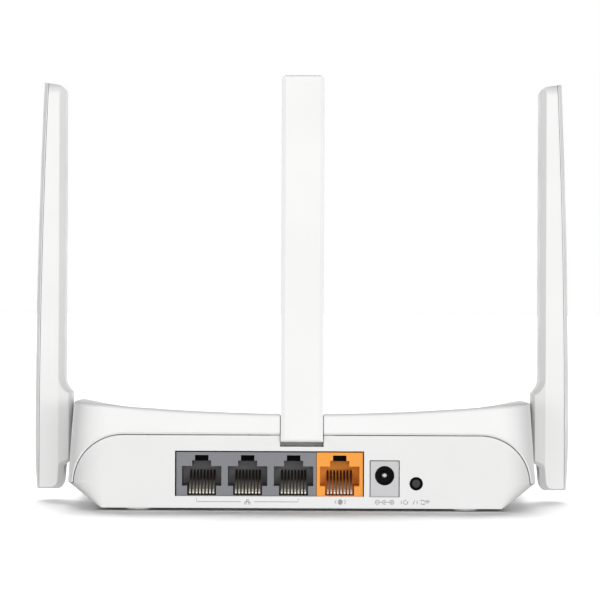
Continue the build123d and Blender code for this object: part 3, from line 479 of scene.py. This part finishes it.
def make_plastics():
    """The moulded plastics, with painted shade in the insides of the sockets, of the power jack
    and of the button's hole and in the slits of the white case, and painted light inside the
    orange socket.
    """
    jack = high_corner("lan_jack_block")
    power_y = high_corner("dc_jack_housing").y
    button_y = high_corner("reset_button").y
    # Ranges in which the insides of holes are painted black as shade: the latch notch of a socket,
    # the bore of the power jack and the button's flange in its hole
    latch_notch = (
        ("Y", jack.y - 1.2 * MM, jack.y - 3.5 * MM),
        ("Z", jack.z - 3.4 * MM, jack.z - 3.2 * MM),
    )
    bore = (
        ("Y", power_y - 4.0 * MM, power_y - 10.5 * MM),
        ("Y", power_y, power_y - 0.3 * MM),
    )
    flange = (
        ("Y", button_y - 0.2 * MM, button_y - 0.6 * MM),
        ("Y", button_y, button_y - 0.2 * MM),
    )
    # name, colour, roughness, scale of the grain, edge radius, speckle
    return {
        "white_plastic": moulded_plastic(
            "white_plastic_case", (0.80, 0.80, 0.795), 0.42, 5200, 0.2 * MM, 0.012,
            # painted shade in the narrow slits, as between the antennas and the case
            dust_and_shade=0.1, deep=(6 * MM, (0.2, 0.2, 0.2)),
        ),
        # a slightly darker copy of the case's white for the whole lower shell, as painted shade on
        # its recessed socket panel
        "white_panel_painted_shade": moulded_plastic(
            "white_plastic_panel_painted_shade", (0.725, 0.725, 0.72), 0.42, 5200, 0.1 * MM, 0.012,
            # painted black shade in the hollows round the sockets and the button, below the
            # antenna's notch
            deep=(3 * MM, (0.03, 0.03, 0.03)), deep_below=NOTCH_Z,
        ),
        # The grey sockets get a strong share of darkening in corners, painted shade along the
        # edges of the socket windows
        "jack_grey": moulded_plastic(
            "jack_grey_pbt", (0.215, 0.217, 0.232), 0.40, 7000, 0.1 * MM, 0.05,
            # painted shade deep in the sockets
            grain_depth=0.008 * MM, dust_and_shade=0.5, deep=(SOCKET_DEPTH, (0.15, 0.148, 0.155)),
            # The latch notch is painted black as shade
            painted_hollow_shade=latch_notch, specular=0.2,
        ),
        "jack_orange": moulded_plastic(
            "jack_orange_pbt", (0.88, 0.345, 0.055), 0.40, 7000, 0.1 * MM, 0.04,
            # a brighter orange deep in the socket, painted light
            grain_depth=0.008 * MM, deep=(SOCKET_DEPTH, (0.98, 0.38, 0.045)),
            # The latch notch is painted black as shade
            painted_hollow_shade=latch_notch, specular=0.12,
        ),
        "power_jack_grey": moulded_plastic(
            "power_jack_grey_pbt", (0.55, 0.55, 0.56), 0.45, 6500, 0.1 * MM, 0.05,
            # painted shade in the recess of the jack, and its bore painted black as shade
            grain_depth=0.01 * MM, deep=(SOCKET_DEPTH, (0.08, 0.08, 0.085)), painted_hollow_shade=bore,
        ),
        "switch_black": moulded_plastic(
            "switch_black_pbt", (0.05, 0.05, 0.055), 0.45, 7000, 0.08 * MM, 0.05,
            grain_depth=0.01 * MM,
        ),
        "button_black": moulded_plastic(
            "button_black_abs", (0.026, 0.026, 0.028), 0.42, 6000, 0.15 * MM, 0.05,
            # The button's flange inside its hole is painted black as shade
            painted_hollow_shade=flange, specular=0.2,
        ),
        "chip_black": moulded_plastic(
            "chip_black_epoxy", (0.035, 0.035, 0.04), 0.55, 9000, 0.06 * MM, 0.1,
            grain_depth=0.02 * MM,
        ),
        "ceramic_tan": moulded_plastic(
            "ceramic_tan_fired", (0.60, 0.46, 0.32), 0.5, 8000, 0.05 * MM, 0.06,
            grain_depth=0.01 * MM,
        ),
        "cable_black": moulded_plastic(
            "cable_black_jacket", (0.045, 0.045, 0.045), 0.4, 5000, 0.05 * MM, 0.05,
            grain_depth=0.01 * MM,
        ),
    }


def make_other_finishes():
    """Metals, clear plastics, the board, rubber and paper."""
    jack_top = high_corner("lan_jack_block").z
    # the contacts turn darker towards their top between these heights
    darker_above = (jack_top - 11.5 * MM, jack_top - 8.5 * MM)
    gold, worn_gold = (0.86, 0.82, 0.74), (0.68, 0.60, 0.48)
    nickel, worn_nickel = (0.30, 0.30, 0.295), (0.16, 0.16, 0.155)
    return {
        "led_white": clear_plastic("led_white_resin", (0.92, 0.92, 0.80)),
        "clear_guide": clear_plastic("clear_guide_acrylic", (0.86, 0.88, 0.90)),
        "contact_gold": plated_metal(
            "contact_gold_plating", gold, worn_gold, 0.45, metallic=0.35, darker_from=darker_above
        ),
        "contact_nickel": plated_metal("contact_nickel_plating", nickel, worn_nickel, 0.35),
        "capacitor_aluminium": drawn_metal("capacitor_aluminium_can", (0.80, 0.81, 0.82), 0.25),
        "screw_steel": drawn_metal("screw_steel_zinc", (0.62, 0.62, 0.60), 0.3),
        "radiator_brass": drawn_metal("radiator_brass_rod", (0.80, 0.62, 0.30), 0.25),
        "board_green": board_mask("board_green_mask"),
        "foot_rubber": rubber("foot_rubber_grey", (0.62, 0.62, 0.62)),
        "label_paper": paper("label_paper_matt", (0.84, 0.84, 0.82)),
    }


def dress_cad_nodes(finishes):
    """Gives every CAD node the finish of its slot; the shell with the panel has its own, slightly
    darker white, painted shade for its recessed panel.
    """
    for part in frame["record"]["subparts"]:
        mesh = nodes[part["node"]].data
        # the lower shell gets the darker copy of the white, as painted shade
        finish = "white_panel_painted_shade" if part["node"] == "bottom_shell" else part["material_slot"]
        for index in range(len(mesh.materials)):
            mesh.materials[index] = finishes[finish]


# ---------------------------------------------------------------- printed marks

INK_THICK = 0.02 * MM
# the row of marks under the sockets, in millimetres, with x towards the right of the picture
MARK_ROW_Z = 2.75
MARK_LINE = 0.25
LAN_BRACKET_X = (-31.9, -1.0)
WAN_MARK_X = 11.75
POWER_MARK_X = 25.2
RESTART_MARK_X = 34.6
# the marks by the indicator lights
LIGHT_PITCH = 10.0
LIGHT_MARK_SHIFT = 4.2      # the marks stand this far in front of the lights


def arc(centre, radius, start, end, steps=16):
    """Points of a circular arc, in degrees, anticlockwise."""
    points = []
    for step in range(steps + 1):
        angle = math.radians(start + (end - start) * step / steps)
        points.append((centre[0] + radius * math.cos(angle), centre[1] + radius * math.sin(angle)))
    return points


def ribbon(points, width, closed=False):
    """Flat strip of quads along a line of points in the drawing plane."""
    count = len(points)
    sides = []
    for index, point in enumerate(points):
        before = points[index - 1] if closed or index else point
        after = points[(index + 1) % count] if closed or index + 1 < count else point
        along = Vector((after[0] - before[0], after[1] - before[1])).normalized()
        across = Vector((-along.y, along.x)) * width / 2
        centre = Vector(point)
        sides.append((centre + across, centre - across))
    if closed:
        sides.append(sides[0])
    return [(a[0], a[1], b[1], b[0]) for a, b in zip(sides, sides[1:])]


def ink_object(name, faces, to_space, finish, body="case"):
    """Turns flat faces into thin raised ink; to_space maps a drawing point and a lift to space."""
    bm = bmesh.new()
    for face in faces:
        base = [bm.verts.new(to_space(x, y, 0.0)) for x, y in face]
        top = [bm.verts.new(to_space(x, y, INK_THICK)) for x, y in face]
        bm.faces.new(top)
        count = len(face)
        for index in range(count):
            after = (index + 1) % count
            bm.faces.new((base[index], base[after], top[after], top[index]))
    bmesh.ops.recalc_face_normals(bm, faces=bm.faces)
    mesh = bpy.data.meshes.new(name)
    bm.to_mesh(mesh)
    bm.free()
    mesh.materials.append(finish)
    piece = bpy.data.objects.new(name, mesh)
    bpy.context.scene.collection.objects.link(piece)
    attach(piece, body)
    return piece


PANEL_Y = high_corner("bottom_shell").y


def on_panel(x, z, lift):
    """Point on the socket panel, with the drawing's x towards the right of the picture."""
    return (-x * MM, PANEL_Y + lift, z * MM)


def circle(centre, radius, width):
    return ribbon(arc(centre, radius, 0, 360)[:-1], width, closed=True)


def square(centre, half, width):
    x, z = centre
    left, right, low, high = x - half, x + half, z - half, z + half
    return ribbon([(left, low), (right, low), (right, high), (left, high)], width, closed=True)


def dot(centre, radius):
    return [tuple(arc(centre, radius, 0, 330, 11))]


def arrow_head(tip, direction, size):
    """Filled triangle whose tip points along direction, in degrees."""
    angle = math.radians(direction)
    along = Vector((math.cos(angle), math.sin(angle)))
    across = Vector((-along.y, along.x))
    tip = Vector(tip)
    foot = tip - along * size
    return [(tuple(tip), tuple(foot + across * size * 0.55), tuple(foot - across * size * 0.55))]


def network_symbol(x, z, width):
    """Three boxes joined by lines."""
    faces = square((x, z + 0.45), 0.26, width)
    for side in (-0.62, 0.62):
        faces += square((x + side, z - 0.45), 0.26, width)
        faces += ribbon([(x + side, z - 0.16), (x + side, z), (x, z), (x, z + 0.16)], width)
    return faces


def globe_symbol(x, z, width):
    """Globe between two small brackets."""
    faces = circle((x, z), 0.68, width)
    faces += ribbon([(x - 0.6, z), (x + 0.6, z)], width)
    faces += ribbon([(x, z - 0.6), (x, z + 0.6)], width)
    turns = [math.radians(30 * step) for step in range(12)]
    oval = [(x + 0.32 * math.cos(turn), z + 0.66 * math.sin(turn)) for turn in turns]
    faces += ribbon(oval, width * 0.8, closed=True)
    for side in (-1, 1):
        near, far = x + side * 1.2, x + side * 1.7
        faces += ribbon([(near, z + 0.55), (far, z), (near, z - 0.55)], width)
    return faces


def polarity_symbol(x, z, width):
    """Power symbol: minus sign, outer contact, centre contact, plus sign."""
    faces = []
    for side in (-1, 1):
        sign = x + side * 2.2
        faces += circle((sign, z), 0.62, width)
        faces += ribbon([(sign - 0.3, z), (sign + 0.3, z)], width)
    faces += ribbon([(x + 2.2, z - 0.3), (x + 2.2, z + 0.3)], width)
    faces += ribbon([(x - 1.5, z), (x - 0.66, z)], width)
    faces += ribbon([(x + 0.2, z), (x + 1.5, z)], width)
    return faces + ribbon(arc((x, z), 0.6, 60, 300), width) + dot((x, z), 0.24)


def restart_symbol(x, z, width):
    """Restart arrow, strokes, two arrows chasing each other and radio waves."""
    faces = ribbon(arc((x - 3.0, z), 0.62, 60, 360), width)
    faces += arrow_head((x - 2.38, z + 0.42), 90, 0.5)
    faces += ribbon([(x - 4.3, z - 0.55), (x - 4.3, z + 0.55)], width)
    faces += ribbon([(x - 0.75, z - 0.65), (x - 0.2, z + 0.65)], width)
    faces += ribbon([(x + 0.5, z - 0.55), (x + 0.5, z + 0.55)], width)
    middle_x = x + 2.2
    for start in (20, 200):
        end = start + 130
        faces += ribbon(arc((middle_x, z), 0.62, start, end), width)
        angle = math.radians(end)
        tip = (middle_x + 0.62 * math.cos(angle), z + 0.62 * math.sin(angle))
        faces += arrow_head(tip, end + 100, 0.45)
    for out in (0.35, 0.7, 1.05):
        faces += ribbon(arc((x + 3.6, z - 0.5), out, 45, 135, 6), width)
    return faces


def sockets_bracket(left, right, z, width):
    """Bracket under a row of sockets with an opening for its symbol."""
    middle_x = (left + right) / 2
    gap = 2.0
    tick = 1.0
    faces = ribbon([(left, z + tick), (left, z), (middle_x - gap, z)], width)
    return faces + ribbon([(middle_x + gap, z), (right, z), (right, z + tick)], width)


def make_panel_marks(ink):
    """Grey symbols printed under the sockets."""
    row, line = MARK_ROW_Z, MARK_LINE
    drawings = {
        "mark_lan_bracket": sockets_bracket(*LAN_BRACKET_X, row, 0.22),
        "mark_lan": network_symbol(sum(LAN_BRACKET_X) / 2, row, line),
        "mark_wan": globe_symbol(WAN_MARK_X, row, line),
        "mark_power": polarity_symbol(POWER_MARK_X, row, line),
        "mark_restart": restart_symbol(RESTART_MARK_X, row, line),
    }
    for name, faces in drawings.items():
        ink_object(name, faces, on_panel, ink)


def surface_above(node):
    """Search tree over a node's mesh, for laying marks on its surface."""
    mesh = nodes[node].data
    place = nodes[node].matrix_world
    points = [place @ vertex.co for vertex in mesh.vertices]
    return BVHTree.FromPolygons(points, [tuple(face.vertices) for face in mesh.polygons])


def power_light_symbol(x, y, width):
    return ribbon(arc((x, y), 0.85, 120, 420), width) + ribbon([(x, y), (x, y + 1.1)], width)


def radio_light_symbol(x, y, width):
    faces = dot((x, y - 0.7), 0.25)
    for out in (0.8, 1.35, 1.9):
        faces += ribbon(arc((x, y - 0.8), out, 50, 130, 8), width)
    return faces


def globe_light_symbol(x, y, width):
    faces = circle((x, y), 0.9, width)
    faces += ribbon([(x - 0.85, y), (x + 0.85, y)], width)
    return faces + ribbon([(x, y - 0.85), (x, y + 0.85)], width)


def link_light_symbol(x, y, width):
    return circle((x - 0.5, y), 0.55, width) + circle((x + 0.5, y), 0.55, width)


def make_light_marks(ink):
    """Small symbols on the top beside the indicator lights."""
    tree = surface_above("top_shell")
    over_top = high_corner("top_shell").z + 10 * MM

    def on_top(x, y, lift):
        hit = tree.ray_cast(Vector((x * MM, y * MM, over_top)), Vector((0, 0, -1)))[0]
        return (x * MM, y * MM, hit.z + lift)

    lights = middle("light_guide") / MM
    drawings = {
        "mark_light_power": power_light_symbol,
        "mark_light_radio": radio_light_symbol,
        "mark_light_network": network_symbol,
        "mark_light_globe": globe_light_symbol,
        "mark_light_link": link_light_symbol,
    }
    for index, (name, draw) in enumerate(drawings.items()):
        faces = draw(lights.x + LIGHT_PITCH * (index - 2), lights.y - LIGHT_MARK_SHIFT, 0.22)
        ink_object(name, faces, on_top, ink)


def make_label_marks(ink):
    """Frame, ruled lines and a round stamp on the label underneath."""
    low, high = low_corner("rating_label"), high_corner("rating_label")

    def under(x, y, lift):
        return (-x * MM, y * MM, low.z - lift)

    margin = 1.2
    half = (high.x - low.x) / 2 / MM - margin
    near, far = low.y / MM + margin, high.y / MM - margin
    faces = ribbon([(-half, near), (half, near), (half, far), (-half, far)], 0.25, closed=True)
    for share in (0.3, 0.5, 0.7):
        y = near + (far - near) * share
        faces += ribbon([(-half + 1.5, y), (half * (0.9 - share), y)], 0.3)
    stamp = (half - 6.0, (near + far) / 2)
    faces += square(stamp, 3.6, 0.3) + circle(stamp, 2.2, 0.3)
    ink_object("mark_label", faces, under, ink)


make_camera()
make_sky()
for light in SOFT_LIGHTS:
    soft_light(*light)
make_floor()
bpy.context.scene.view_settings.view_transform = "Standard"
bpy.context.scene.view_settings.look = "None"

dress_cad_nodes({**make_plastics(), **make_other_finishes()})
make_panel_marks(printed_ink("ink_grey", (0.30, 0.30, 0.31)))
make_light_marks(printed_ink("ink_soft_grey", (0.38, 0.38, 0.39)))
make_label_marks(printed_ink("ink_dark", (0.06, 0.06, 0.065)))
